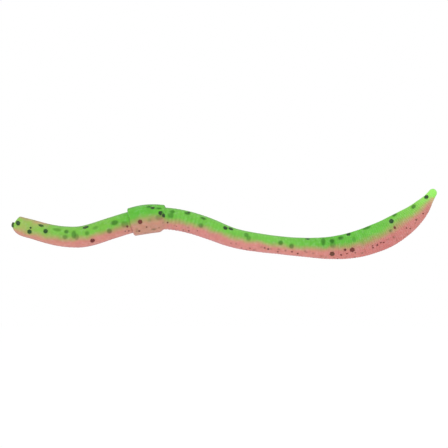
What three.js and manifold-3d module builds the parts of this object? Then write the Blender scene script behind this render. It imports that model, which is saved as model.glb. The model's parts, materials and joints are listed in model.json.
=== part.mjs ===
// A six inch soft plastic worm: two colours of soft plastic bonded along its length, a raised collar,
// a flattened tail and a scatter of hexagonal glitter flakes. It is divided into lengths that hinge
// on each other, which is how a rigid-body model follows a body that bends anywhere.
//
// Millimetres. The origin is the centre of the trimmed face on the nose. +X runs from nose to tail,
// +Z is up through the green back, and the moulded S-curve lies in the XZ plane.

import * as THREE from 'three';
import { mergeVertices } from 'three/addons/utils/BufferGeometryUtils.js';
import Module from 'manifold-3d';

const wasm = await Module();
wasm.setup();

// ---- Driving dimensions -------------------------------------------------------------------------

const LAMINATE_GAP = 0.2; // between the green back and the pink belly, fused on the real worm
const HINGE_GAP = 0.3; // between two lengths, on the hinge's own line
const BEND_LIMIT = 35; // degrees that each length bends either way on the one before it
const BEND_CLEARANCE = 2; // degrees left open between the relief faces at the limit
const RING_PITCH = 3; // spacing of the loft's cross-sections along a length
const RING_SPARE = 0.1; // a stated section nearer than this to a length's end is left out
const ARC_STEPS = 10; // flats round the back, and round the belly, with a corner at the top and bottom
const SEAM_LIMIT = 0.95; // share of the half height that the seam stays within
const CUT_REACH = 8; // past the skin, for the shapes that cut it

const CHIN_LENGTH = 4.5; // the run over which the nose rounds off below the spine
const CHIN_RINGS = [0.2, 0.6, 1.2, 2, 3, 4]; // cross-sections of that run, from its start
const NOSE_TAPER = 0.45; // share of its width that the nose loses over the same run
const NOSE_TRIM_ANGLE = 36; // slope of the trimmed face, from vertical
const TAIL_TIP_RADIUS = 1.4;
const TAIL_TIP_NECK = 1.35; // radius where it leaves the fin
const TAIL_TIP_LENGTH = 2.6;
const TAIL_TIP_SIDES = 12;
const TAIL_TIP_ARC_STEPS = 5; // from its widest ring to its pole

const FLAKE_ACROSS_FLATS = 1.5;
const FLAKE_THICKNESS = 0.2;
const FLAKE_SINK = 0.22; // from the skin down to the flake's mid-plane
const POCKET_GAP = 0.3; // round and under each flake

const GREEN = new THREE.Color(0x6fc24b);
const TIP_GREEN = new THREE.Color(0x9bee66);
const PINK = new THREE.Color(0xd6877f);
const FLAKE_IN_GREEN = new THREE.Color(0x1c3d12);
const FLAKE_IN_PINK = new THREE.Color(0x4a120f);

// The spine at rest, nose to tail, as [x, z]. A third entry names the hinge at that point.
const SPINE = [
  [-1.2, -1.1],
  [3.2, -2.1],
  [12.5, -4.6, 'head_sway'],
  [18.4, -5.4],
  [22.1, -5.3, 'nape_arch'],
  [28.2, -3.8],
  [34.9, -1.6, 'neck_sway'],
  [45.2, 0.8],
  [55.7, 0.4, 'collar_arch'],
  [62.4, -1.3],
  [67.9, -3.3, 'chest_sway'],
  [73.3, -5.4],
  [80.9, -7, 'trunk_arch'],
  [92.3, -8.4, 'waist_twist'],
  [102.8, -9.1, 'hip_sway'],
  [110.3, -8.9],
  [117.7, -7.5, 'tail_arch'],
  [126.7, -4.1, 'fin_sway'],
  [135.7, 1.8, 'fin_end_sway'],
  [139.8, 6.1],
  [142.7, 10.5],
];

// The lengths between those hinges, nose to tail.
const LENGTHS = [
  'head', 'nape', 'neck', 'collar', 'chest', 'trunk', 'waist', 'hip', 'tail_root', 'tail', 'fin', 'fin_end',
];

// Cross-sections along the spine, as [distance from the nose, half height, half width, seam height].
// The seam is where green meets pink, as a share of the half height above the spine.
const SECTIONS = [
  [3, 3.22, 3.22, -0.44],
  [9.5, 3.3, 3.3, -0.4],
  [14, 3.42, 3.42, -0.3],
  [20, 3.58, 3.58, -0.18],
  [28, 3.76, 3.76, -0.18],
  [41.3, 3.72, 3.72, -0.14],
  [41.6, 4.85, 4.85, -0.04],
  [43, 5.02, 5.02, -0.03],
  [47, 5.07, 5.07, 0.05],
  [50.6, 4.88, 4.88, 0.12],
  [53.2, 4.6, 4.6, 0.12],
  [54.2, 3.75, 3.75, -0.16],
  [58, 3.75, 3.75, -0.18],
  [66, 3.68, 3.68, -0.12],
  [71, 3.65, 3.65, -0.05],
  [75.5, 3.38, 3.38, 0],
  [84, 3.26, 3.26, 0.06],
  [92, 3.12, 3.12, 0],
  [97, 3.13, 3, -0.06],
  [102, 3.28, 2.8, -0.1],
  [106.5, 3.52, 2.6, -0.06],
  [112, 3.95, 2.3, 0],
  [118, 4.45, 2.05, -0.02],
  [124, 4.78, 1.9, 0],
  [130, 4.93, 1.75, 0.14],
  [135, 4.68, 1.65, 0.22],
  [139, 4.25, 1.5, 0.18],
  [143, 3.6, 1.4, 0.06],
  [147, 2.72, 1.4, -0.04],
  [151, 1.55, 1.4, -0.35],
];

// Large flakes that lie at the skin, by the length that holds them, as [distance from the nose,
// height as a share of the half height, side]. Side -1 is -Y and 1 is +Y.
const FLAKES = {
  head: [[6.6, -0.3, -1], [9.7, 0.66, -1], [11.8, 0.22, -1], [7.5, 0.1, 1]],
  nape: [[19, 0.52, -1], [18.8, -0.02, -1], [21.7, 0.28, -1], [17.6, 0.2, 1]],
  neck: [[26.5, 0.2, -1], [27.6, -0.58, -1], [29.7, 0.48, -1], [34, -0.22, -1], [31, 0.1, 1]],
  collar: [[45, -0.12, -1], [49.5, 0.74, -1], [51.4, 0.72, -1], [52.1, 0.4, -1], [55.8, 0.7, -1],
    [46.5, 0.3, 1]],
  chest: [[66, 0.74, -1], [66, 0.02, -1], [63, 0.4, 1]],
  trunk: [[74, 0.68, -1], [82, 0.62, -1], [78, 0.3, 1]],
  waist: [[94, 0.28, -1]],
  hip: [[97.8, 0.03, -1], [103.2, 0.88, -1]],
  tail_root: [[111.8, 0.58, -1], [111.6, -0.5, -1], [115, 0.72, -1], [118.3, -0.3, -1]],
  fin: [[134.7, 0.58, -1]],
  fin_end: [[144.4, 0.66, -1]],
};

// ---- Spine --------------------------------------------------------------------------------------

const SPINE_SAMPLES = 60; // arc-length samples between two spine points
const spine = new THREE.CatmullRomCurve3(SPINE.map(([x, z]) => new THREE.Vector3(x, 0, z)));
spine.arcLengthDivisions = SPINE_SAMPLES * (SPINE.length - 1);
const spineLength = spine.getLength();
const pointDistances = SPINE.map((_, i) => spine.getLengths()[i * SPINE_SAMPLES]);

const hinges = SPINE
  .map(([, , name], i) => ({ name, distance: pointDistances[i] }))
  .filter((hinge) => hinge.name);

// The spine's point and directions at a distance from the nose: along it, across it (+Y) and up.
function frameAt(distance) {
  const share = THREE.MathUtils.clamp(distance / spineLength, 0, 1);
  const along = spine.getTangentAt(share);
  const across = new THREE.Vector3(0, 1, 0);
  return { origin: spine.getPointAt(share), along, across, up: along.clone().cross(across) };
}

// Half height, half width and seam height at a distance, straight between the stated sections. The
// nose keeps its full height above the spine and rounds off below it, which lifts its sections.
function sectionAt(distance) {
  const found = SECTIONS.findIndex((row, i) => i > 0 && distance <= row[0]);
  const next = found < 0 ? SECTIONS.length - 1 : found;
  const [before, after] = [SECTIONS[next - 1], SECTIONS[next]];
  const share = THREE.MathUtils.clamp((distance - before[0]) / (after[0] - before[0]), 0, 1);
  const [height, width, seam] = [1, 2, 3].map((k) => THREE.MathUtils.lerp(before[k], after[k], share));
  const chin = Math.sqrt(1 - (1 - Math.min(distance / CHIN_LENGTH, 1)) ** 2);
  const lift = (height * (1 - chin)) / 2;
  const left = (height * (1 + chin)) / 2;
  const taper = 1 - NOSE_TAPER * (1 - chin);
  return { height: left, width: width * taper, seam: (seam * height - lift) / left, lift };
}

// A point on the skin: height share of the half height, on side -1 or 1, with the outward normal.
function skinAt(distance, share, side) {
  const { origin, along, across, up } = frameAt(distance);
  const { height, width, lift } = sectionAt(distance);
  const outward = Math.sqrt(1 - share ** 2) * side;
  const point = origin.clone()
    .addScaledVector(up, lift + share * height)
    .addScaledVector(across, outward * width);
  const normal = up.clone()
    .multiplyScalar(share / height)
    .addScaledVector(across, outward / width)
    .normalize();
  return { point, normal, along };
}

// ---- Solids -------------------------------------------------------------------------------------

// A closed geometry through rings of equal length, with a flat fan over each end.
function loft(rings) {
  const count = rings[0].length;
  const index = [];
  for (let r = 0; r + 1 < rings.length; r++) {
    for (let i = 0; i < count; i++) {
      const a = r * count + i;
      const b = r * count + ((i + 1) % count);
      index.push(a, b, a + count, b, b + count, a + count);
    }
  }
  const end = (rings.length - 1) * count;
  for (let i = 1; i + 1 < count; i++) {
    index.push(0, i + 1, i);
    index.push(end, end + i, end + i + 1);
  }
  const geometry = new THREE.BufferGeometry().setFromPoints(rings.flat());
  geometry.setIndex(index);
  return geometry;
}

function toSolid(geometry, matrix = new THREE.Matrix4()) {
  const bare = geometry.clone().applyMatrix4(matrix);
  bare.deleteAttribute('normal');
  bare.deleteAttribute('uv');
  const merged = mergeVertices(bare, 1e-4);
  return new wasm.Manifold(new wasm.Mesh({
    numProp: 3,
    vertProperties: new Float32Array(merged.attributes.position.array),
    triVerts: new Uint32Array(merged.index.array),
  }));
}

function toGeometry(solid) {
  const { vertProperties, triVerts } = solid.getMesh();
  const geometry = new THREE.BufferGeometry();
  geometry.setAttribute('position', new THREE.BufferAttribute(new Float32Array(vertProperties), 3));
  geometry.setIndex([...triVerts]);
  return geometry;
}

// The distances where a length's loft has a cross-section: both ends, every stated section that
// falls between them, and enough others to follow the curve.
function ringDistances(start, end) {
  const inside = (d) => d > start + RING_SPARE && d < end - RING_SPARE;
  const stated = SECTIONS.map((row) => row[0]).filter(inside);
  const chin = start === 0 ? CHIN_RINGS : [];
  const fixed = [...new Set([start, ...chin, ...stated, end])].sort((a, b) => a - b);
  return fixed.flatMap((d, i) => {
    if (i === 0) return [d];
    const steps = Math.ceil((d - fixed[i - 1]) / RING_PITCH);
    return Array.from({ length: steps }, (_, k) => THREE.MathUtils.lerp(fixed[i - 1], d, (k + 1) / steps));
  });
}

// The part of a cross-section above the seam (side 1) or below it (side -1), as points in order
// round it. The flat edge stands half the laminate gap off the seam.
function halfRing(distance, side) {
  const { origin, across, up } = frameAt(distance);
  const { height, width, seam, lift } = sectionAt(distance);
  const edge = THREE.MathUtils.clamp(seam + (side * LAMINATE_GAP) / 2 / height, -SEAM_LIMIT, SEAM_LIMIT);
  const from = Math.asin(edge);
  const to = side > 0 ? Math.PI - from : -Math.PI - from;
  return Array.from({ length: ARC_STEPS + 1 }, (_, i) => {
    const angle = THREE.MathUtils.lerp(from, to, i / ARC_STEPS);
    return origin.clone()
      .addScaledVector(across, Math.cos(angle) * width)
      .addScaledVector(up, lift + Math.sin(angle) * height);
  });
}

// The space two neighbouring lengths leave each other at a hinge, as a prism along the hinge's
// axis: a bow-tie that opens away from the axis for a bend, a plain slot for a twist.
function hingeRelief({ name, distance }) {
  const { origin, along, across, up } = frameAt(distance);
  const spread = Math.tan(THREE.MathUtils.degToRad((BEND_LIMIT + BEND_CLEARANCE) / 2)) * CUT_REACH;
  const waist = HINGE_GAP / 2;
  const open = waist + (name.endsWith('twist') ? 0 : spread);
  const outline = new THREE.Shape([
    [-open, -CUT_REACH], [open, -CUT_REACH], [waist, 0], [open, CUT_REACH], [-open, CUT_REACH], [-waist, 0],
  ].map(([x, y]) => new THREE.Vector2(x, y)));
  const prism = new THREE.ExtrudeGeometry(outline, { depth: 2 * CUT_REACH, bevelEnabled: false });
  prism.translate(0, 0, -CUT_REACH);
  const opensTowards = name.endsWith('sway') ? across : up;
  const place = new THREE.Matrix4()
    .makeBasis(along, opensTowards, along.clone().cross(opensTowards))
    .setPosition(origin);
  return toSolid(prism, place);
}

// Everything forward of the trimmed face, as a box that turns with it.
function noseTrim() {
  const size = 2 * CUT_REACH;
  const box = new THREE.BoxGeometry(size, size, size).translate(-CUT_REACH, 0, 0);
  return toSolid(box, new THREE.Matrix4().makeRotationY(THREE.MathUtils.degToRad(NOSE_TRIM_ANGLE)));
}

function flakeGeometry(grow) {
  const radius = (FLAKE_ACROSS_FLATS / 2 + grow) / Math.cos(Math.PI / 6);
  return new THREE.CylinderGeometry(radius, radius, FLAKE_THICKNESS + 2 * grow, 6);
}

// The flake's mid-plane centre and its turn: its faces lie along the skin and its corners point
// along the spine.
function flakePlace([distance, share, side]) {
  const { point, normal, along } = skinAt(distance, share, side);
  const sideways = along.clone().cross(normal).normalize();
  return new THREE.Matrix4()
    .makeBasis(sideways, normal, sideways.clone().cross(normal))
    .setPosition(point.addScaledVector(normal, -FLAKE_SINK));
}

function flakePocket(flake) {
  return toSolid(flakeGeometry(POCKET_GAP), flakePlace(flake));
}

// ---- The worm -----------------------------------------------------------------------------------

function soft(color) {
  return new THREE.MeshStandardMaterial({ color, roughness: 0.45, metalness: 0 });
}

function glitter(color) {
  return new THREE.MeshStandardMaterial({ color, roughness: 0.25, metalness: 0.3 });
}

function named(name, geometry, material) {
  const mesh = new THREE.Mesh(geometry, material);
  mesh.name = name;
  return mesh;
}

const bodyEnd = SECTIONS.at(-1)[0];
const ends = [0, ...hinges.map((hinge) => hinge.distance), bodyEnd];

// One length of the worm: its green back, its pink belly and the flakes that it holds.
function makeLength(name, i) {
  const group = new THREE.Group();
  const flakes = FLAKES[name] ?? [];
  const cuts = [
    ...(i > 0 ? [hingeRelief(hinges[i - 1])] : [noseTrim()]),
    ...(i < hinges.length ? [hingeRelief(hinges[i])] : []),
    ...flakes.map(flakePocket),
  ];
  for (const [part, side, color] of [['back', 1, GREEN], ['belly', -1, PINK]]) {
    const rings = ringDistances(ends[i], ends[i + 1]).map((distance) => halfRing(distance, side));
    if (side < 0) rings.forEach((ring) => ring.reverse());
    const solid = cuts.reduce((rest, cut) => rest.subtract(cut), toSolid(loft(rings)));
    group.add(named(`${name}_${part}`, toGeometry(solid), soft(color)));
  }
  flakes.forEach((flake, k) => {
    const inGreen = flake[1] > sectionAt(flake[0]).seam;
    const material = glitter(inGreen ? FLAKE_IN_GREEN : FLAKE_IN_PINK);
    const mesh = named(`${name}_flake_${k + 1}`, flakeGeometry(0), material);
    mesh.applyMatrix4(flakePlace(flake));
    group.add(mesh);
  });
  return group;
}

// The green bulb at the very end, turned about the spine's last direction.
function makeTailTip() {
  const start = bodyEnd + HINGE_GAP;
  const { origin, along } = frameAt(start);
  const widest = TAIL_TIP_LENGTH - TAIL_TIP_RADIUS;
  const profile = [new THREE.Vector2(0, 0), new THREE.Vector2(TAIL_TIP_NECK, 0)];
  for (let k = 0; k < TAIL_TIP_ARC_STEPS; k++) {
    const angle = (k / TAIL_TIP_ARC_STEPS) * (Math.PI / 2);
    const rise = TAIL_TIP_RADIUS * Math.sin(angle);
    profile.push(new THREE.Vector2(TAIL_TIP_RADIUS * Math.cos(angle), widest + rise));
  }
  profile.push(new THREE.Vector2(0, TAIL_TIP_LENGTH));
  const mesh = named('tail_tip', new THREE.LatheGeometry(profile, TAIL_TIP_SIDES), soft(TIP_GREEN));
  mesh.quaternion.setFromUnitVectors(new THREE.Vector3(0, 1, 0), along);
  mesh.position.copy(origin);
  return mesh;
}

const worm = new THREE.Group();
LENGTHS.forEach((name, i) => worm.add(makeLength(name, i)));
worm.add(makeTailTip());

export default worm;
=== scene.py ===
"""A soft plastic worm: a ribbed two-colour skin over the hinged lengths of the CAD frame, a raised collar and
glitter flakes, on a pale floor.

Everything is in metres in the CAD frame: +X runs from nose to tail and +Z is up through the green back. The CAD
solids are measured first. The spine and the cross-sections found there carry all that is built here, in these terms:
"distance" runs along the spine from the nose, "angle" turns round it from the top towards +Y, and a "height share"
is a height above the spine divided by the half height of the section."""

import json
import math

import bpy
import numpy as np
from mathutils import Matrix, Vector
from mathutils.bvhtree import BVHTree

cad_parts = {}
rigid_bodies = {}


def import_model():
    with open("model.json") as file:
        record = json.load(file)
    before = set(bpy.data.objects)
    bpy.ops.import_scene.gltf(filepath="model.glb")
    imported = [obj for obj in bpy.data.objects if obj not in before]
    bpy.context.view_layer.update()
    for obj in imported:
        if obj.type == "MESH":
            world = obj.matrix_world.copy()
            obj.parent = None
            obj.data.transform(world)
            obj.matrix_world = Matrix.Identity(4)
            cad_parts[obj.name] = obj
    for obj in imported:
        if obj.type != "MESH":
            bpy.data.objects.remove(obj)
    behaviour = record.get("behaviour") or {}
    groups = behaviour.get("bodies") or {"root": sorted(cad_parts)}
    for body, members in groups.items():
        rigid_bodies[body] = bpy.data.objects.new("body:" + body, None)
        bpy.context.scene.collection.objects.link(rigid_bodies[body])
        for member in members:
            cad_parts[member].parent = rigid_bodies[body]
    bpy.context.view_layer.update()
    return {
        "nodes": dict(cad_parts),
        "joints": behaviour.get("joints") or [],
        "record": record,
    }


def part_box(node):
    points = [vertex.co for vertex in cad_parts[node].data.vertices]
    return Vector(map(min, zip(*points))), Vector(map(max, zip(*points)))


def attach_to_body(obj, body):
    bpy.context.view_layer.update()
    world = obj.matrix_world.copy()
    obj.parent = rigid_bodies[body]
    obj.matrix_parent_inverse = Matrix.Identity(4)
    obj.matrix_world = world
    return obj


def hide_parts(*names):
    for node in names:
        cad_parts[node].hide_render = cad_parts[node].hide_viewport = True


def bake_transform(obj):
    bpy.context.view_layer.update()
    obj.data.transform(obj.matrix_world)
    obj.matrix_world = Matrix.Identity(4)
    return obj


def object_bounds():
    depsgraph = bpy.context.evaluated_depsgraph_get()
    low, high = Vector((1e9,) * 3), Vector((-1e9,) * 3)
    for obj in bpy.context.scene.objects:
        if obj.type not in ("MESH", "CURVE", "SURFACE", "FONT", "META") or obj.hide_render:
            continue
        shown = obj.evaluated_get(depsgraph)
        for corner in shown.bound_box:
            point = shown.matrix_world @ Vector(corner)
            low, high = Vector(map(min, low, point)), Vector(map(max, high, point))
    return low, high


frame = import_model()

MM = 0.001
ACROSS = np.array([0.0, 1.0, 0.0])
joints = frame["joints"]
lengths = [joints[0]["parent"]] + [joint["child"] for joint in joints]  # the bodies, from nose to tail
rng = np.random.default_rng(11)


# ---- Curves ---------------------------------------------------------------------------------------------------------

SLOPE_REACH = 0.05 * MM  # how far to either side of a point its slope is read


class Curve:
    """A natural cubic curve through rows of values at rising distances, straight beyond its ends."""

    def __init__(self, distances, rows):
        self.x = np.array(distances, float)
        self.y = np.array(rows, float).reshape(len(self.x), -1)
        step = np.diff(self.x)[:, None]
        matrix = np.eye(len(self.x))
        change = np.zeros_like(self.y)
        change[1:-1] = 6 * np.diff(np.diff(self.y, axis=0) / step, axis=0)
        for i in range(1, len(self.x) - 1):
            before, after = step[i - 1, 0], step[i, 0]
            matrix[i, i - 1 : i + 2] = before, 2 * (before + after), after
        self.bend = np.linalg.solve(matrix, change)

    def __call__(self, distance):
        distance = np.asarray(distance, float)
        i = np.clip(np.searchsorted(self.x, distance) - 1, 0, len(self.x) - 2)
        step = (self.x[i + 1] - self.x[i])[..., None]
        right = (distance - self.x[i])[..., None] / step
        inside = np.clip(right, 0, 1)
        left = 1 - inside
        straight = left * self.y[i] + inside * self.y[i + 1]
        curved = (left**3 - left) * self.bend[i] + (inside**3 - inside) * self.bend[i + 1]
        steeper = np.where(right > 1, 2 * self.bend[i + 1] + self.bend[i], -2 * self.bend[i] - self.bend[i + 1])
        slope = self.y[i + 1] - self.y[i] + steeper * step**2 / 6
        return straight + curved * step**2 / 6 + (right - inside) * slope

    def slope(self, distance):
        distance = np.asarray(distance, float)
        return (self(distance + SLOPE_REACH) - self(distance - SLOPE_REACH)) / (2 * SLOPE_REACH)


def smoothstep(low, high, value):
    """0 at low and 1 at high, with an even start and end. Low may be the larger of the two."""
    share = np.clip((value - low) / (high - low), 0, 1)
    return share * share * (3 - 2 * share)


def along_the_worm(*stops):
    """A function of distance that goes straight between stops given as (distance in millimetres, value)."""
    places, values = zip(*stops)
    return lambda distance: np.interp(np.asarray(distance) / MM, places, values)


# ---- The CAD solids, measured ---------------------------------------------------------------------------------------

RAY_LENGTH = 20 * MM  # starts every ray well outside the worm
OFF_CENTRE = 0.1 * MM  # keeps a ray off the edges that lie in the mid-plane
WIDTH_RAY_SHARE = 0.35  # height share of the rays that measure width
STATION_SHARES = (0.22, 0.43, 0.64)  # where a length's section is read, clear of the hinges' reliefs
HINGE_CLEAR = 2.5 * MM  # how far the reliefs at the collar's two hinges reach along it
COLLAR_STEP = 1.12  # the collar is where the half height passes this many times its value beside the hinge
COLLAR_SCAN = 0.2 * MM  # the step in which its ends are looked for
COLLAR_INSET = (0.6 * MM, 2 * MM)  # how far inside its front and its back its section is read
COLLAR_STATIONS = 4
CHIN = 4.5 * MM  # the run over which the nose rounds off below the spine
SPINE_ROUNDS = 2  # how often the spine is moved to the middles of the sections


def tree_of(names):
    """The triangles of the named CAD nodes, ready for rays."""
    points, faces = [], []
    for name in names:
        mesh = frame["nodes"][name].data
        faces += [[len(points) + i for i in polygon.vertices] for polygon in mesh.polygons]
        points += [vertex.co.copy() for vertex in mesh.vertices]
    return BVHTree.FromPolygons(points, faces)


solids = tree_of(sorted(frame["nodes"]))
backs = tree_of(f"{length}_back" for length in lengths)
bellies = tree_of(f"{length}_belly" for length in lengths)


def reach(tree, point, direction):
    """How far the solids reach from a point along a direction, or 0 if the ray slips through a gap between them."""
    outside = Vector(point + RAY_LENGTH * direction)
    hit_distance = tree.ray_cast(outside, Vector(-direction))[3]
    return 0 if hit_distance is None else RAY_LENGTH - hit_distance


def spine_through(points):
    """A curve whose distances are the straight runs between its points."""
    gaps = np.linalg.norm(np.diff(points, axis=0), axis=1)
    return Curve(np.concatenate([[0], np.cumsum(gaps)]), points)


def directions(curve, distance):
    """The unit directions along the spine and up from it."""
    along = curve.slope(distance)
    along = along / np.linalg.norm(along, axis=-1, keepdims=True)
    return along, np.cross(along, ACROSS)


def section_of_solids(curve, distance):
    """The centre of the CAD section at a distance, and its half height, half width and seam share."""
    point = curve(distance) + OFF_CENTRE * ACROSS
    _, up = directions(curve, distance)
    top = reach(solids, point, up)
    bottom = reach(solids, point, -up)
    rise = (top - bottom) / 2
    half = (top + bottom) / 2
    centre = curve(distance) + rise * up
    sides = [
        reach(solids, centre + level * half * up, side * ACROSS)
        for level in (-WIDTH_RAY_SHARE, WIDTH_RAY_SHARE)
        for side in (-1, 1)
    ]
    width = max(sides) / math.sqrt(1 - WIDTH_RAY_SHARE**2)
    seam = (reach(bellies, point, up) - reach(backs, point, -up)) / 2 - rise
    return centre, (half, width, seam / half)


def measured_spine():
    """The spine through the hinges, the tail's tip and the middles of the solids between them, run on straight to
    the nose, with the hinges' distances along it and the radius of the tip."""
    nose_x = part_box("head_back")[0].x
    nose = np.array([nose_x, 0, nose_x])  # a start, which the first round moves
    tip_low, tip_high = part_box("tail_tip")
    radius = (tip_high.y - tip_low.y) / 2
    ball = np.array([tip_high.x - radius, 0, tip_high.z - radius])
    hinge_points = [np.array(joint["pos_m"]) for joint in joints]
    run = ball - hinge_points[-1]
    tip = ball + radius * run / np.linalg.norm(run)
    fixed = [nose, *hinge_points, tip]
    curve, stops = spine_through(fixed), spine_through(fixed).x
    for _ in range(SPINE_ROUNDS):
        middles = [section_of_solids(curve, (a + b) / 2)[0] for a, b in zip(stops, stops[1:])]
        front = section_of_solids(curve, CHIN)[0]
        fixed[0] = front + (front - middles[0]) * (front[0] - nose_x) / (middles[0][0] - front[0])
        points = [point for pair in zip(fixed, middles) for point in pair] + [tip]
        curve = spine_through(np.array(points))
        stops = curve.x[::2]
    return curve, stops[1:-1], radius


spine, hinges, tip_radius = measured_spine()
total = spine.x[-1]
length_ends = np.array([0, *hinges, total])


def collar_ends():
    """Where the raised collar starts and ends on the length that carries it."""
    carrier = lengths.index("collar")
    places = np.arange(length_ends[carrier] + HINGE_CLEAR, length_ends[carrier + 1] - HINGE_CLEAR, COLLAR_SCAN)
    halves = np.array([section_of_solids(spine, place)[1][0] for place in places])
    raised = places[halves > COLLAR_STEP * halves[0]]
    return raised[0], raised[-1]


def read_profile(distances):
    """Half height, half width and seam share through the sections at the given distances."""
    return Curve(distances, [section_of_solids(spine, distance)[1] for distance in distances])


def read_body_profile():
    """Half height, half width and seam share along the whole worm, as if it had no collar and a square nose."""
    stations = [a + share * (b - a) for a, b in zip(length_ends, length_ends[1:]) for share in STATION_SHARES]
    measured = read_profile([d for d in stations if d > CHIN and not collar_start < d < collar_end])
    last_seam = measured.y[-1, 2]
    return Curve([*measured.x, total - tip_radius], [*measured.y, (tip_radius, tip_radius, last_seam)])


collar_start, collar_end = collar_ends()
collar_stations = np.linspace(collar_start + COLLAR_INSET[0], collar_end - COLLAR_INSET[1], COLLAR_STATIONS)
collar_profile = read_profile(collar_stations)
body_profile = read_body_profile()


# ---- The worm's surface ---------------------------------------------------------------------------------------------

NOSE_TAPER = 0.45  # share of its width that the nose loses
NOSE_EDGE = 0.25 * MM  # softness of the edge round the trimmed face
LUMP = 0.05 * MM  # height of the slow unevenness of a moulded surface
LUMP_COUNT = 9  # the waves that make it up
LUMP_LENGTHS = (4, 14)  # how long they are, in millimetres
LUMP_TURNS = (-3, 4)  # how many times they go round the worm, up to but not including the last
GROOVE_STRENGTHS = (0.55, 1.25)  # the least and most of its depth that a groove has
BACK_GROOVES = 0.4  # share of their depth under the belly that the grooves have on the back
BELLY_TURN = (0.9, -0.4)  # cosines of the angles where the depth starts to grow and where it's full
RELIEF_FADE = 1.0 * MM  # the half height below which the relief dies away, towards the tip's pole
RIB_SAMPLES = 6000

# The pitch and depth of the ribs, in millimetres: faint on the head, none under the collar, close-set on the tail.
rib_pitch = along_the_worm((0, 1.3), (60, 1.3), (75, 1.15), (100, 1.0), (115, 0.78), (154, 0.76))
rib_depth = along_the_worm(
    (0, 0), (4, 0.02), (30, 0.04), (40, 0.05), (42, 0), (53, 0), (54, 0.13), (62, 0.11), (75, 0.06), (98, 0.06),
    (112, 0.08), (125, 0.11), (146, 0.11), (150, 0.05), (151.5, 0),
)

nose_mount = next(mount for mount in frame["record"]["mounts"] if mount["name"] == "nose_face")
trim_point = np.array(nose_mount["pos_m"], float)
trim_axis = np.array(nose_mount["axis"], float)

rib_places = np.linspace(0, total, RIB_SAMPLES)
rib_counts = np.concatenate([[0], np.cumsum(np.diff(rib_places) / (rib_pitch(rib_places[1:]) * MM))])
rib_strengths = rng.uniform(*GROOVE_STRENGTHS, int(rib_counts[-1]) + 2)  # no two grooves are quite alike
lump_waves = [  # each as (length, turns round the worm, where it starts)
    (rng.uniform(*LUMP_LENGTHS) * MM, rng.integers(*LUMP_TURNS), rng.uniform(0, 2 * math.pi))
    for _ in range(LUMP_COUNT)
]


def rib_count(distance):
    """How many ribs lie before a distance. It is whole in the bottom of each groove."""
    return np.interp(distance, rib_places, rib_counts)


def distance_of_rib(count):
    """The distance at which so many ribs have gone by."""
    return np.interp(count, rib_counts, rib_places)


def body_section(distance, angle):
    """Half height, half width, seam share and centre height of the body. The nose rounds off below the spine only,
    which lifts the centre, and the tip closes to a dome."""
    half, width, seam = np.moveaxis(body_profile(np.minimum(distance, total - tip_radius)), -1, 0)
    chin = np.sqrt(1 - np.clip(1 - distance / CHIN, 0, 1) ** 2)
    tip = np.sqrt(1 - np.clip(1 - (total - distance) / tip_radius, 0, 1) ** 2)
    lift = half * (1 - chin) / 2
    left = half * (1 + chin) / 2
    return left * tip, width * (1 - NOSE_TAPER * (1 - chin)) * tip, (seam * half - lift) / left, lift


def groove(distance):
    """1 along the bottom of each groove between ribs, falling to 0 on the ribs."""
    return (0.5 + 0.5 * np.cos(2 * math.pi * rib_count(distance))) ** 2


def relief(distance, angle):
    """How far the moulded surface stands off the plain section. The grooves are deepest under the belly."""
    strength = rib_strengths[np.round(rib_count(distance)).astype(int)]
    belly = BACK_GROOVES + (1 - BACK_GROOVES) * smoothstep(*BELLY_TURN, np.cos(angle))
    slow = sum(np.sin(distance * 2 * math.pi / wave + turns * angle + start) for wave, turns, start in lump_waves)
    return LUMP * slow / LUMP_COUNT - rib_depth(distance) * MM * strength * belly * groove(distance)


def surface(section, distance, angle, out):
    """Points round a section, raised by out and cut back to the nose's trimmed face."""
    half, width, _, lift = section(distance, angle)
    _, up = directions(spine, distance)
    shrink = np.clip(half / RELIEF_FADE, 0, 1)
    rise = lift + (half + shrink * out) * np.cos(angle)
    reach_across = (width + shrink * out) * np.sin(angle)
    point = spine(distance) + rise[..., None] * up + reach_across[..., None] * ACROSS
    past_trim = (point - trim_point) @ trim_axis - out
    cut = NOSE_EDGE * np.logaddexp(0, past_trim / NOSE_EDGE)
    return point - cut[..., None] * trim_axis


# ---- The collar -----------------------------------------------------------------------------------------------------

COLLAR_SINK = 0.25 * MM  # the collar's rim ends this far under the body's skin
COLLAR_FRONT = (0.35 * MM, 0.8 * MM)  # length of its rounded front corner at the top and at the bottom
COLLAR_BACK = (0.9 * MM, 2.6 * MM)  # length of its slope down to the body at the top and at the bottom
COLLAR_RUN_OUT = 0.15  # share of that slope past the collar's measured end


def collar_section(distance, angle):
    """The raised collar: a steep rounded front, a plateau and a slope down at the back, longest underneath."""
    below = (1 - np.cos(angle)) / 2
    half, width, body_seam, lift = body_section(distance, angle)
    raised, raised_width, collar_seam = np.moveaxis(collar_profile(distance), -1, 0)
    front = COLLAR_FRONT[0] + (COLLAR_FRONT[1] - COLLAR_FRONT[0]) * below
    back = COLLAR_BACK[0] + (COLLAR_BACK[1] - COLLAR_BACK[0]) * below
    corner = np.clip((distance - collar_start) / front, 0, 1)
    slope = smoothstep(0, 1, (collar_end + COLLAR_RUN_OUT * back - distance) / back)
    rise = np.sqrt(1 - (1 - corner) ** 2) * slope
    low, low_width = half - COLLAR_SINK, width - COLLAR_SINK
    seam = body_seam + (collar_seam - body_seam) * rise
    return low + (raised - low) * rise, low_width + (raised_width - low_width) * rise, seam, lift


# ---- Flakes ---------------------------------------------------------------------------------------------------------

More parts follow.
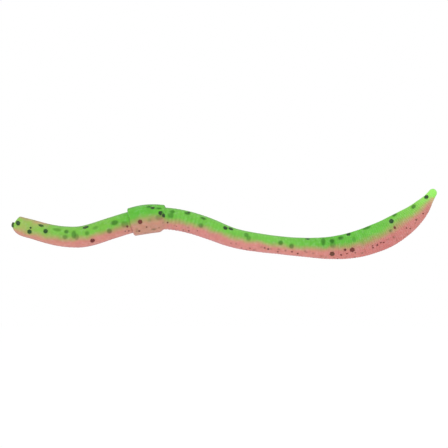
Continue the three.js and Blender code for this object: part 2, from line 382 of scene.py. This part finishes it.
FLAKE_PROUD = 0.02 * MM  # the top of a flake over the ribs, so that it shows through them
FLAKE_DEPTH = 0.2 * MM
FLAKE_POINTS = 12  # points round a flake, at its six corners and midway between them
SMALL_RADII = (0.18 * MM, 0.34 * MM)
DEEP_BLUR = 0.35 * MM  # the softness of a flake that lies under the skin
HALO_BLUR = 0.3 * MM  # the softness of the stain round a flake at the skin
HALO = 0.35  # how dark that stain is
STAIN_REACH = 3  # how far a stain is looked for, in radii of its flake
NEAREST_SAMPLES = 3000

# How a flake looks is (size share, length over width, depth). The depth is 0 for a flake at the skin, and above
# that the share of it that shows through.
PLAIN = (1, 1, 0)
NODE_LOOKS = {
    "head_flake_2": (0.85, 1.9, 0), "nape_flake_1": (0.85, 1, 0.85), "nape_flake_2": (0.9, 1, 0.55),
    "nape_flake_3": (1.2, 0.55, 0.65), "neck_flake_1": (0.85, 1, 0.6), "neck_flake_3": (0.9, 1.8, 0.45),
    "neck_flake_4": (1, 1, 0.7), "collar_flake_2": (0.75, 1.2, 0), "collar_flake_3": (0.75, 2.2, 0.85),
    "collar_flake_5": (0.9, 1.2, 0.7), "chest_flake_1": (0.9, 1.6, 0.85), "chest_flake_2": (0.95, 1, 0.65),
    "trunk_flake_2": (1, 0.8, 0.6), "waist_flake_1": (0.95, 1, 0.75), "hip_flake_1": (0.95, 1, 0.7),
    "hip_flake_2": (0.7, 2.2, 0), "tail_root_flake_1": (0.9, 1.1, 0.85), "tail_root_flake_3": (0.9, 1.3, 0.8),
    "fin_end_flake_1": (0.9, 1.3, 0.85),
}

# Flakes on the -Y side beside those in the CAD, as (distance in millimetres, height share, how it looks).
EXTRA_FLAKES = [
    (2, 0.2, (0.85, 1, 0)), (6.6, 0.14, (0.35, 1, 0)), (15.6, 0.59, (0.9, 2.2, 0.5)), (22.7, 0.02, (0.9, 0.7, 0.5)),
    (26.4, 0.78, (0.9, 1.8, 0)), (36.5, 0.38, (1, 1.4, 0.75)), (39.6, -0.04, (1.1, 1, 0.45)),
    (40.3, -0.3, (0.4, 1, 0)), (44, -0.72, (0.4, 1, 0)), (48.4, 0.83, (0.75, 1.2, 0.8)), (48.3, -0.1, (0.6, 1, 0.25)),
    (49.5, -0.75, (0.6, 1.8, 0.6)), (51.6, 0.06, (1.1, 1.4, 0.45)), (53.1, 0.24, (0.65, 1, 0)),
    (55.4, 0.32, (0.9, 1, 0.55)), (60.5, 0.78, (0.8, 1.4, 0.9)), (60.9, 0.9, (0.5, 1, 0)),
    (75.9, 0.8, (0.8, 1.4, 0)), (82.9, 0.32, (0.8, 0.8, 0.5)), (108.6, 0.62, (1, 0.45, 0.65)),
    (111.9, 0.26, (1, 0.8, 0.45)), (115.9, -0.25, (0.45, 1, 0)), (118.1, 0.9, (0.7, 1.4, 0)),
    (119.6, 0.42, (0.7, 0.8, 0.4)), (125.3, 0.93, (0.9, 2.4, 0.75)), (132.6, 0.06, (0.5, 1, 0.7)),
    (134.4, 0.1, (0.45, 0.7, 0)), (136.8, 0.93, (0.7, 1.6, 0.8)), (149.9, 0.62, (0.75, 1, 0)),
]
NOSE_FLAKE = (0.3, -0.6, (0.75, 1, 0))  # the one that stands out of the nose
NOSE_FLAKE_RISE = 0.6 * MM
BELLY_RUNS = ((40, 66), (77, 106), (109, 146))  # where small flakes lie low on the near side, in millimetres
BELLY_PITCH = 1.3  # average run from one of them to the next, in millimetres
BELLY_JITTER = 0.8  # the share of that run by which one may stray
BELLY_SHARES = (0.35, 0.97)  # how far they lie below the spine, as height shares
FAR_SMALL_COUNT = 130
FAR_SMALL_CLEAR = (2 * MM, 6 * MM)  # the runs that small flakes keep clear of, at the nose and at the tail
FAR_SMALL_SPREAD = (2, 1.4)  # the beta distribution of their angles, so that more of them lie low
FAR_LARGE_COUNT = 34
FAR_LARGE_CLEAR = (3 * MM, 8 * MM)  # the same runs for large flakes
FAR_LARGE_ANGLES = (0.15, 0.75)  # where they lie, in half turns from the top
SMALL_AT_SKIN = 0.55  # the share of small flakes that lie at the skin
LARGE_AT_SKIN = 0.6
DEEP_SHOWS = (0.3, 0.6)  # how much of a random flake below the skin shows
SMALL_STRETCH = (0.8, 1.5)  # the length over the width of a random flake
LARGE_STRETCH = (0.8, 1.4)


def is_on_collar(distance):
    return collar_start < distance < collar_end


class Flake:
    """A hexagonal flake: its place on the worm, its size and how much of it shows."""

    def __init__(self, distance, angle, radius, look=PLAIN, node=None):
        size, self.stretch, self.deep = look
        self.distance = distance
        self.angle = angle
        self.radius = radius * size
        self.rise = np.zeros(3)  # how far its face stands off the skin
        self.node = node
        self.turn = rng.uniform(0, math.pi / 3)
        self.section = collar_section if is_on_collar(distance) else body_section
        self.centre = self.middle(0.0)

    def middle(self, out):
        return surface(self.section, np.array(self.distance), np.array(self.angle), out)

    def in_green(self):
        return float(above_seam(self.section, np.array(self.distance), np.array(self.angle))) > 0

    def rings(self, steps, out):
        """Rings of points round the flake at the given shares of its radius."""
        corners = self.turn + np.arange(6) * math.pi / 3
        outline = np.stack([np.cos(corners), np.sin(corners)], -1)
        between = (outline + np.roll(outline, -1, axis=0)) / 2
        outline = np.stack([outline, between], 1).reshape(-1, 2) * self.radius
        outline *= [self.stretch**0.5, self.stretch**-0.5]
        half, width, _, _ = self.section(np.array(self.distance), np.array(self.angle))
        across_rate = math.hypot(half * math.sin(self.angle), width * math.cos(self.angle))
        offsets = outline[None] * np.array(steps)[:, None, None]
        along, around = self.distance + offsets[..., 0], self.angle + offsets[..., 1] / across_rate
        return surface(self.section, along, around, out)


def flake_at_node(name):
    """The flake that stands for a CAD flake node."""
    low, high = (np.array(corner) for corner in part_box(name))
    centre = (low + high) / 2
    places = np.linspace(0, total, NEAREST_SAMPLES)
    distance = places[np.linalg.norm(spine(places) - centre * [1, 0, 1], axis=1).argmin()]
    _, up = directions(spine, distance)
    section = collar_section if is_on_collar(distance) else body_section
    half, width, _, lift = (float(value) for value in section(np.array(distance), np.array(0.0)))
    offset = centre - spine(distance)
    angle = math.atan2(offset[1] / width, (offset @ up - lift) / half)
    return Flake(distance, angle, (high - low).max() / 2, NODE_LOOKS.get(name, PLAIN), name)


def listed_flakes(radius):
    """The named flakes that the CAD leaves out, all on the side that faces -Y."""
    found = [
        Flake(distance * MM, -math.acos(share), radius, look)
        for distance, share, look in [*EXTRA_FLAKES, NOSE_FLAKE]
    ]
    found[-1].rise = NOSE_FLAKE_RISE * trim_axis
    return found


def random_depth(share_at_skin):
    return 0.0 if rng.random() < share_at_skin else rng.uniform(*DEEP_SHOWS)


def random_distance(clear):
    return rng.uniform(clear[0], total - clear[1])


def small_flake(distance, angle):
    deep = random_depth(SMALL_AT_SKIN)
    return Flake(distance, angle, rng.uniform(*SMALL_RADII), (1, rng.uniform(*SMALL_STRETCH), deep))


def scattered_flakes(radius):
    """Small flakes low on the near side, and small and large ones all over the side that faces +Y."""
    found = []
    for start, end in BELLY_RUNS:
        for place in np.arange(start, end, BELLY_PITCH):
            angle = -math.acos(-rng.uniform(*BELLY_SHARES))
            found.append(small_flake((place + rng.uniform(-BELLY_JITTER, BELLY_JITTER) * BELLY_PITCH) * MM, angle))
    for _ in range(FAR_SMALL_COUNT):
        found.append(small_flake(random_distance(FAR_SMALL_CLEAR), rng.beta(*FAR_SMALL_SPREAD) * math.pi))
    for _ in range(FAR_LARGE_COUNT):
        deep = random_depth(LARGE_AT_SKIN)
        look = (1, rng.uniform(*LARGE_STRETCH), deep)
        distance = random_distance(FAR_LARGE_CLEAR)
        found.append(Flake(distance, rng.uniform(*FAR_LARGE_ANGLES) * math.pi, radius, look))
    return found


def keep_apart(placed, candidates):
    """The placed flakes, and those of the candidates that touch none kept so far."""
    kept = list(placed)
    for flake in candidates:
        if all(np.linalg.norm(flake.centre - other.centre) > flake.radius + other.radius for other in kept):
            kept.append(flake)
    return kept


# ---- Seam between the colours ---------------------------------------------------------------------------------------

WHOLE_HEIGHT = 2.0  # the height of a section, in half heights
ROLL_AT_NOSE = math.radians(76)  # the seam's turn towards -Y at the nose, which brings pink over the top there
ROLL_RUN = (8 * MM, 24 * MM)  # the distances where that turn starts to die away and where it's gone
TOP_LEAST = -0.07  # the least height over the seam that the top keeps, so that the two colours only mix there
TOP_EDGE = (0.8, 0)  # cosines of the angles between which that limit is let go


def above_seam(section, distance, angle):
    """How far a point on a section lies above the seam plane, as a share of the half height."""
    _, _, seam, _ = section(distance, angle)
    roll = ROLL_AT_NOSE * smoothstep(ROLL_RUN[1], ROLL_RUN[0], distance)
    measured_side = np.sqrt(1 - np.clip(seam, -1, 1) ** 2)
    plane = np.cos(roll) * seam + np.sin(roll) * measured_side
    above = np.cos(roll) * np.cos(angle) - np.sin(roll) * np.sin(angle) - plane
    let_go = WHOLE_HEIGHT * smoothstep(*TOP_EDGE, np.cos(angle))
    return np.maximum(above, TOP_LEAST - let_go)


# ---- Mesh code ------------------------------------------------------------------------------------------------------

AROUND = 84  # points round the worm
ROWS_PER_RIB = 8
angles = np.linspace(0, 2 * math.pi, AROUND, endpoint=False)


def make_object(name, points, faces, material, smooth=True):
    """A new mesh object in the scene."""
    mesh = bpy.data.meshes.new(name)
    mesh.from_pydata(points.tolist(), [], faces)
    mesh.polygons.foreach_set("use_smooth", [smooth] * len(mesh.polygons))
    mesh.materials.append(material)
    made = bpy.data.objects.new(name, mesh)
    bpy.context.scene.collection.objects.link(made)
    return made


def add_attribute(made, name, values):
    """Gives each point of a mesh a value that its material can read."""
    attribute = made.data.attributes.new(name, "FLOAT", "POINT")
    attribute.data.foreach_set("value", np.asarray(values, np.float32))


def tube_faces(rows, around):
    """Faces of a closed tube: quads between rows, then a fan at each end to a pole, the last two points."""
    faces = []
    for r in range(rows - 1):
        for i in range(around):
            j = (i + 1) % around
            faces.append((r * around + i, (r + 1) * around + i, (r + 1) * around + j, r * around + j))
    first_pole, last_pole = rows * around, rows * around + 1
    last = (rows - 1) * around
    for i in range(around):
        j = (i + 1) % around
        faces.append((first_pole, i, j))
        faces.append((last_pole, last + j, last + i))
    return faces


def sharpen_rim(made, ring):
    """Marks the rim of a flat end as sharp, so that the end doesn't bend the skin's shading."""
    rim = range(ring * AROUND, (ring + 1) * AROUND)
    sharp = [edge.vertices[0] in rim and edge.vertices[1] in rim for edge in made.data.edges]
    for edge, is_sharp in zip(made.data.edges, sharp):
        edge.use_edge_sharp = edge.use_edge_sharp or is_sharp


def veil_at(points, flakes):
    """How dark the flakes under or round each point make it, from 0 to 1."""
    veil = np.zeros(points.shape[:-1])
    for flake in flakes:
        gap = np.linalg.norm(points - flake.centre, axis=-1)
        near = gap < STAIN_REACH * flake.radius
        if not near.any():
            continue
        along, up = directions(spine, np.array(flake.distance))
        offset = points[near] - flake.centre
        lengthwise = offset @ along
        crosswise = np.sqrt(np.maximum((offset**2).sum(-1) - lengthwise**2, 0))
        squeezed = np.hypot(lengthwise / flake.stretch**0.5, crosswise * flake.stretch**0.5)
        blur = DEEP_BLUR if flake.deep else HALO_BLUR
        strength = flake.deep or HALO
        stain = strength * smoothstep(flake.radius + blur, flake.radius - blur, squeezed)
        veil[near] = 1 - (1 - veil[near]) * (1 - stain)
    return veil


def make_tube(name, section, distances, flakes, material, rough):
    """A closed tube of skin through rows at the given distances, with what its material reads."""
    along = np.repeat(distances[:, None], AROUND, axis=1)
    around = np.repeat(angles[None], len(distances), axis=0)
    out = relief(along, around) if rough else np.zeros_like(along)
    points = surface(section, along, around, out)

    def with_poles(values):
        flat = values.reshape(-1, *values.shape[2:])
        return np.concatenate([flat, values[:1].mean(1), values[-1:].mean(1)])

    made = make_object(name, with_poles(points), tube_faces(len(distances), AROUND), material)
    add_attribute(made, "above_seam", with_poles(above_seam(section, along, around)))
    add_attribute(made, "distance", with_poles(along / total))
    # the grooves' depth, which the skin's material turns into painted shade
    add_attribute(made, "groove", with_poles(groove(along) * rib_depth(along) if rough else 0 * along))
    add_attribute(made, "veil", with_poles(veil_at(points, flakes)))
    return made


def plate_points(flake):
    """The middle of the flake's face, a ring half way out, its edge, its underside's edge and that side's middle."""
    inner, edge = flake.rings((0.5, 1.0), FLAKE_PROUD) + flake.rise
    underside = flake.rings((1.0,), -FLAKE_DEPTH)[0]
    return [flake.middle(FLAKE_PROUD) + flake.rise, *inner, *edge, *underside, flake.middle(-FLAKE_DEPTH)]


def plate_faces(face_middle):
    """The faces over a plate's points, given the place of the first of them in the mesh."""
    inner = face_middle + 1
    edge = inner + FLAKE_POINTS
    underside = edge + FLAKE_POINTS
    underside_middle = underside + FLAKE_POINTS
    faces = []
    for i in range(FLAKE_POINTS):
        j = (i + 1) % FLAKE_POINTS
        faces.append((face_middle, inner + i, inner + j))
        faces.append((inner + i, edge + i, edge + j, inner + j))
        faces.append((edge + i, underside + i, underside + j, edge + j))
        faces.append((underside + i, underside_middle, underside + j))
    return faces


def make_flakes(name, flakes, material):
    """Thin hexagonal plates that lie in the surface, joined as one mesh."""
    points, faces = [], []
    for flake in flakes:
        faces += plate_faces(len(points))
        points += plate_points(flake)
    made = make_object(name, np.array(points), faces, material, smooth=False)
    add_attribute(made, "tone", np.repeat(rng.uniform(0, 1, len(flakes)), len(points) // len(flakes)))
    return made


# ---- Materials ------------------------------------------------------------------------------------------------------

MIX_COLOURS = (6, 7)  # the Mix node's sockets for two colours
MIX_RESULT = 2  # and for the colour that comes out


def srgb(red, green, blue):
    """A colour given as 0 to 255 sRGB, as the linear RGBA that Blender's nodes take."""
    shares = [value / 255 for value in (red, green, blue)]
    linear = [share / 12.92 if share < 0.04045 else ((share + 0.055) / 1.055) ** 2.4 for share in shares]
    return (*linear, 1.0)


class Nodes:
    """Adds nodes to a new material. An input may be a plain value or another node's output."""

    def __init__(self, name):
        self.material = bpy.data.materials.new(name)
        self.material.use_nodes = True
        self.tree = self.material.node_tree
        self.shader = self.tree.nodes["Principled BSDF"]

    def add(self, kind, inputs=None, **settings):
        made = self.tree.nodes.new("ShaderNode" + kind)
        for name, value in settings.items():
            setattr(made, name, value)
        self.feed(made, inputs or {})
        return made

    def feed(self, made, inputs):
        for name, value in inputs.items():
            if isinstance(value, bpy.types.NodeSocket):
                self.tree.links.new(value, made.inputs[name])
            else:
                made.inputs[name].default_value = value

    def attribute(self, name):
        """A value that add_attribute gave to the mesh."""
        return self.add("Attribute", attribute_name=name).outputs["Fac"]

    def noise(self, scale, detail=2.0):
        place = self.add("TexCoord").outputs["Object"]
        return self.add("TexNoise", {"Vector": place, "Scale": scale, "Detail": detail}).outputs["Fac"]

    def math(self, operation, a, b):
        return self.add("Math", {0: a, 1: b}, operation=operation).outputs[0]

    def spread(self, value, low, high, to_low=0.0, to_high=1.0):
        """A smooth step from to_low to to_high as value goes from low to high."""
        inputs = {"Value": value, "From Min": low, "From Max": high, "To Min": to_low, "To Max": to_high}
        return self.add("MapRange", inputs, interpolation_type="SMOOTHSTEP").outputs["Result"]

    def ramp(self, value, stops):
        """A colour from stops given as (value, sRGB)."""
        made = self.add("ValToRGB", {"Fac": value})
        elements = made.color_ramp.elements
        while len(elements) < len(stops):
            elements.new(0.5)
        for element, (place, colour) in zip(elements, stops):
            element.position = place
            element.color = srgb(*colour)
        return made.outputs["Color"]

    def mix(self, share, a, b, blend="MIX"):
        made = self.add("Mix", {0: share}, data_type="RGBA", blend_type=blend)
        self.feed(made, dict(zip(MIX_COLOURS, (a, b))))
        return made.outputs[MIX_RESULT]

    def bump(self, height, distance, strength):
        return self.add("Bump", {"Height": height, "Distance": distance, "Strength": strength}).outputs["Normal"]


def grey(value):
    return (value, value, value, 1.0)


# Colours along the worm, as (distance share, sRGB).
GREEN_STOPS = [
    (0.0, (140, 196, 78)), (0.1, (122, 190, 72)), (0.22, (118, 188, 64)), (0.29, (90, 184, 52)),
    (0.38, (112, 192, 68)), (0.6, (118, 196, 74)), (0.72, (98, 186, 60)), (0.84, (110, 196, 70)),
    (0.94, (136, 204, 84)), (1.0, (158, 240, 106)),
]
PINK_STOPS = [
    (0.0, (204, 146, 122)), (0.15, (208, 136, 126)), (0.26, (206, 137, 124)), (0.28, (198, 145, 123)),
    (0.34, (198, 143, 122)), (0.36, (207, 135, 126)), (0.45, (210, 136, 130)),
    (0.68, (212, 138, 128)), (0.84, (206, 126, 122)), (0.96, (208, 138, 128)), (1.0, (190, 212, 120)),
]
STAIN = (0.16, 0.3, 0.12, 1.0)  # what a flake below the surface lets through, in linear RGB
RIM_PAINTED_SHADE = (0.75, 0.66, 0.8, 1.0)  # painted shade along the outline: the share of its colour that the plastic keeps there, in linear RGB
RIM_TURN = (0.4, 0.95)  # how far the skin faces away, from 0 to 1, where that painted shade starts and where it's full
SEAM_SOFTNESS = (0.42, 0.5)  # height share over which the colours mix, to either side of the seam: body and tail
SOFTER_RUN = (0.7, 0.85)  # distance shares between which the seam goes from the body's softness to the tail's
SEAM_DRIFT = 0.09  # height share by which the seam wanders up and down
TAIL_TIP_RUN = (0.978, 0.993)  # distance shares between which the pink runs out
PAINTED_GROOVE_SHADES = (0.12, 0.25)  # how dark the painted shade in a deep groove is, in the pink and in the green
GROOVE_MIX = 0.2  # height share over which one goes to the other, to either side of the seam
DEEP_GROOVE = 0.12  # depth of a deep groove, in millimetres
# the painted shade laid into the grooves
GROOVE_PAINTED_SHADE = grey(0.62)
NOISE_RANGE = (0.3, 0.7)  # where nearly all the values of a noise lie
DARK_CLOUDS = (0.35, 0.75, 0.0, 0.35)  # the noise where they start and where they're full, and their share there
DARK_TINT = grey(0.72)
PALE_CLOUDS = (0.45, 0.8, 0.0, 0.07)  # the same for the pale ones
PALE_TINT = grey(0.95)
SKIN_ROUGHNESS = (0.36, 0.5)
FLAKE_ROUGHNESS = (0.3, 0.45)
FLAKE_CLOUDS = 0.2  # how far a flake's colour strays along its ramp
FINE_BUMP = 0.02 * MM

# The scales of the noises, in patches per metre.
SEAM_SCALE = 260
DARK_SCALE = 420
PALE_SCALE = 900
CLOUD_SCALE = 1800
FINE_SCALE = 2600
FILM_SCALE = 3000


def share_of_green(nodes, distance, height):
    """The colours mix softly over the seam, and the pink runs out at the tail's tip."""
    past_pink = nodes.spread(distance, *TAIL_TIP_RUN, 0.0, WHOLE_HEIGHT)
    softness = nodes.spread(distance, *SOFTER_RUN, *SEAM_SOFTNESS)
    raised = nodes.math("ADD", height, past_pink)
    return nodes.spread(raised, nodes.math("MULTIPLY", softness, -1.0), softness)


def mottle(nodes, colour):
    """Adds the darker and paler clouds of poured plastic."""
    dark = nodes.spread(nodes.noise(DARK_SCALE, detail=3.0), *DARK_CLOUDS)
    pale = nodes.spread(nodes.noise(PALE_SCALE), *PALE_CLOUDS)
    return nodes.mix(pale, nodes.mix(dark, colour, DARK_TINT, "MULTIPLY"), PALE_TINT, "SCREEN")


def paint_groove_shade(nodes, colour, height):
    """Paints shade into the grooves, darker the deeper they are."""
    full_shade = nodes.spread(height, -GROOVE_MIX, GROOVE_MIX, *PAINTED_GROOVE_SHADES)
    shade = nodes.spread(nodes.attribute("groove"), 0.0, DEEP_GROOVE, 0.0, full_shade)
    return nodes.mix(shade, colour, GROOVE_PAINTED_SHADE, "MULTIPLY")


def paint_rim_shade(nodes, colour):
    """Paints shade into the skin's colour where it turns away from the eye."""
    slant = nodes.add("LayerWeight", {"Blend": 0.5}).outputs["Facing"]
    return nodes.mix(nodes.spread(slant, *RIM_TURN), colour, RIM_PAINTED_SHADE, "MULTIPLY")


def skin_material():
    """Slightly clear soft plastic in both colours."""
    nodes = Nodes("two_colour_plastic")
    distance = nodes.attribute("distance")
    drift = nodes.spread(nodes.noise(SEAM_SCALE), *NOISE_RANGE, -SEAM_DRIFT, SEAM_DRIFT)
    height = nodes.math("ADD", nodes.attribute("above_seam"), drift)
    green = share_of_green(nodes, distance, height)
    colour = nodes.mix(green, nodes.ramp(distance, PINK_STOPS), nodes.ramp(distance, GREEN_STOPS))
    # painted shade in the grooves
    colour = paint_groove_shade(nodes, mottle(nodes, colour), height)
    colour = nodes.mix(nodes.attribute("veil"), colour, STAIN, "MULTIPLY")
    fine = nodes.noise(FINE_SCALE, detail=4.0)
    nodes.feed(nodes.shader, {
        # with painted shade at the outline
        "Base Color": paint_rim_shade(nodes, colour),
        "Roughness": nodes.spread(fine, *NOISE_RANGE, *SKIN_ROUGHNESS),
        "Normal": nodes.bump(fine, FINE_BUMP, 0.5),
        "IOR": 1.45,
        "Specular IOR Level": 0.2,
        "Subsurface Weight": 0.25,
        "Subsurface Radius": (1.0, 0.8, 0.5),
        "Subsurface Scale": 0.35 * MM,
    })
    return nodes.material


def flake_material(name, stops):
    """Film whose colour differs from flake to flake and within each."""
    nodes = Nodes(name)
    cloud = nodes.spread(nodes.noise(CLOUD_SCALE), *NOISE_RANGE, -FLAKE_CLOUDS, FLAKE_CLOUDS)
    tone = nodes.math("ADD", nodes.attribute("tone"), cloud)
    nodes.feed(nodes.shader, {
        "Base Color": nodes.ramp(tone, stops),
        "Roughness": nodes.spread(nodes.noise(FILM_SCALE), *NOISE_RANGE, *FLAKE_ROUGHNESS),
        "Normal": nodes.bump(nodes.noise(FINE_SCALE, detail=4.0), FINE_BUMP, 0.4),
        "Specular IOR Level": 0.35,
    })
    return nodes.material


skin = skin_material()
flake_in_green = flake_material(
    "glitter_seen_through_green",
    [(0.0, (24, 52, 8)), (0.4, (30, 76, 14)), (0.7, (14, 60, 34)), (0.85, (52, 54, 14)), (1.0, (48, 88, 26))],
)
flake_in_pink = flake_material(
    "glitter_seen_through_pink",
    [(0.0, (84, 22, 22)), (0.5, (112, 40, 36)), (1.0, (96, 58, 36))],
)


# ---- Pieces ---------------------------------------------------------------------------------------------------------

DOME_ROWS = 22
COLLAR_ROW = 0.25 * MM
BEND_MARGIN = 1.0 * MM  # kept clear of the next piece or the collar when the span about a hinge is worked out
STAIN_RUN = 2 * MM  # how far past its ends a piece looks for flakes whose stain comes over


def dome_rows(length):
    """Distances from a pole that space the rows of a dome evenly round its curve."""
    turns = np.linspace(0, math.pi / 2, DOME_ROWS + 1)[1:]
    return length * (1 - np.cos(turns))


def skin_rows(start, end):
    """The rows of a skin piece: the same number to each rib, closer round the nose and the tip."""
    first, last = rib_count(start), rib_count(end)
    rows = distance_of_rib(np.linspace(first, last, round((last - first) * ROWS_PER_RIB) + 1))
    if start == 0:
        rows = np.concatenate([dome_rows(CHIN), rows[rows > CHIN]])
    if end == total:
        rows = np.concatenate([rows[rows < total - tip_radius], (total - dome_rows(tip_radius))[::-1]])
    return rows


def piece_ends():
    """Where one skin piece meets the next: in the groove nearest the middle of each length between hinges."""
    middles = (hinges[:-1] + hinges[1:]) / 2
    return np.array([0, *distance_of_rib(np.round(rib_count(middles))), total])


def bend_with_hinge(piece, k, start, end):
    """Works out the span about hinge k that the piece has room for, which nothing uses, and bakes the piece's
    placement into its mesh.
    """
    hinge = hinges[k]
    room = min(hinge - start, end - hinge, abs(collar_start - hinge), abs(collar_end - hinge))
    span = room - BEND_MARGIN
    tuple(spine(hinge - span))
    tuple(spine(hinge + span))
    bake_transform(piece)


def add_flakes(place, flakes, attach):
    """The flakes of one piece of skin, as one mesh for each of the two colours."""
    at_skin = [flake for flake in flakes if not flake.deep]
    for colour, material, slot in (("green", flake_in_green, "flake_green"), ("red", flake_in_pink, "flake_red")):
        chosen = [flake for flake in at_skin if flake.in_green() == (colour == "green")]
        if not chosen:
            continue
        piece = make_flakes(f"glitter_{colour}_{place}", chosen, material)
        attach(piece)
        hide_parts(*[flake.node for flake in chosen if flake.node])


def stand_for_deep(flakes):
    """The skin shows the flakes below its surface as stains, so it stands for their CAD nodes."""
    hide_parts(*[flake.node for flake in flakes if flake.node and flake.deep])


def add_skin(k, start, end, flakes):
    """The piece of skin over hinge k, with its flakes. It stands for the length before the hinge, and the last
    piece stands for the length after it and the tip as well."""
    rows = skin_rows(start, end)
    near = [flake for flake in flakes if start - STAIN_RUN < flake.distance < end + STAIN_RUN]
    piece = make_tube(f"skin_{lengths[k]}_to_{lengths[k + 1]}", body_section, rows, near, skin, True)
    if start > 0:
        sharpen_rim(piece, 0)
    if end < total:
        sharpen_rim(piece, len(rows) - 1)
    bend_with_hinge(piece, k, start, end)
    own = [flake for flake in flakes if start <= flake.distance < end]
    add_flakes(lengths[k + 1], own, lambda flake_piece: bend_with_hinge(flake_piece, k, start, end))
    stood_for = lengths[k : k + 1] if end < total else lengths[k:]
    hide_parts(*[f"{length}_{part}" for length in stood_for for part in ("back", "belly")])
    if end == total:
        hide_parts("tail_tip")
    stand_for_deep(own)


def add_collar(flakes):
    """The raised collar with its flakes, rigid on its own length."""
    front = collar_start + dome_rows(COLLAR_FRONT[1])
    end = collar_end + COLLAR_RUN_OUT * COLLAR_BACK[1]
    rest = np.arange(front[-1] + COLLAR_ROW, end, COLLAR_ROW)
    rows = np.concatenate([[collar_start], front, rest, [end]])
    piece = make_tube("raised_collar", collar_section, rows, flakes, skin, False)
    sharpen_rim(piece, 0)
    sharpen_rim(piece, len(rows) - 1)
    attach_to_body(piece, "collar")
    add_flakes("collar_band", flakes, lambda flake_piece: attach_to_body(flake_piece, "collar"))
    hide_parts("collar_back", "collar_belly")
    stand_for_deep(flakes)


flakes = [flake_at_node(name) for name in sorted(frame["nodes"]) if "_flake_" in name]
large_radius = max(flake.radius for flake in flakes)
flakes += listed_flakes(large_radius)
flakes = keep_apart(flakes, scattered_flakes(large_radius))
body_flakes = [flake for flake in flakes if not is_on_collar(flake.distance)]

ends = piece_ends()
for k in range(len(joints)):
    add_skin(k, ends[k], ends[k + 1], body_flakes)
add_collar([flake for flake in flakes if is_on_collar(flake.distance)])


# ---- Floor, light and camera ----------------------------------------------------------------------------------------

FLOOR_SIZE = 4.0
KEY_LIGHT_OFFSET = (-0.35, -0.7, 0.6)  # from the worm's middle
KEY_LIGHT_SIZE = 0.5
KEY_LIGHT_POWER = 1.1  # in watts
LENS = 135.0
NEAREST_SEEN = 10 * MM
FRAME_FILL = 0.949  # share of the picture's width that the worm takes up
FRAME_SHIFT = 0.1 * MM  # how far the worm stands to the right of the picture's middle


def add_floor(level):
    """A wide floor that glows a little, so that it's as white as the room."""
    half = FLOOR_SIZE / 2
    corners = np.array([(-half, -half, level), (half, -half, level), (half, half, level), (-half, half, level)])
    nodes = Nodes("pale_floor")
    nodes.feed(nodes.shader, {
        "Base Color": grey(0.8),
        "Roughness": 0.9,
        "Specular IOR Level": 0.0,
        "Emission Color": grey(1.0),
        "Emission Strength": 0.2,
    })
    floor = make_object("floor", corners, [(0, 1, 2, 3)], nodes.material, smooth=False)


def add_light(name, place, target, size, power):
    """A square area light that faces its target."""
    light = bpy.data.lights.new(name, "AREA")
    light.size = size
    light.energy = power
    made = bpy.data.objects.new(name, light)
    made.location = place
    made.rotation_mode = "QUATERNION"
    made.rotation_quaternion = (Vector(target) - Vector(place)).to_track_quat("-Z", "Y")
    bpy.context.scene.collection.objects.link(made)


def light_the_scene(centre):
    """An even white room, and one large soft light in front and above."""
    world = bpy.data.worlds.new("white_room")
    world.use_nodes = True
    background = world.node_tree.nodes["Background"]
    background.inputs["Color"].default_value = grey(1.0)
    background.inputs["Strength"].default_value = 1.0
    bpy.context.scene.world = world
    add_light("key_light", centre + Vector(KEY_LIGHT_OFFSET), centre, KEY_LIGHT_SIZE, KEY_LIGHT_POWER)
    bpy.context.scene.view_settings.view_transform = "Standard"


def add_camera(centre, width):
    """Looks level along +Y, as far off as the lens needs."""
    camera = bpy.data.cameras.new("camera")
    camera.lens = LENS
    made = bpy.data.objects.new("camera", camera)
    made.location = centre - Vector((0, width / FRAME_FILL * LENS / camera.sensor_width, 0))
    made.rotation_euler = (math.pi / 2, 0, 0)
    camera.clip_start = NEAREST_SEEN
    bpy.context.scene.collection.objects.link(made)
    bpy.context.scene.camera = made


low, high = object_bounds()
middle = (low + high) / 2
worm_length = high.x - low.x
add_floor(low.z - worm_length)  # a worm's length down, where no bend can reach it
light_the_scene(middle)
add_camera(middle - Vector((FRAME_SHIFT, 0, 0)), worm_length)
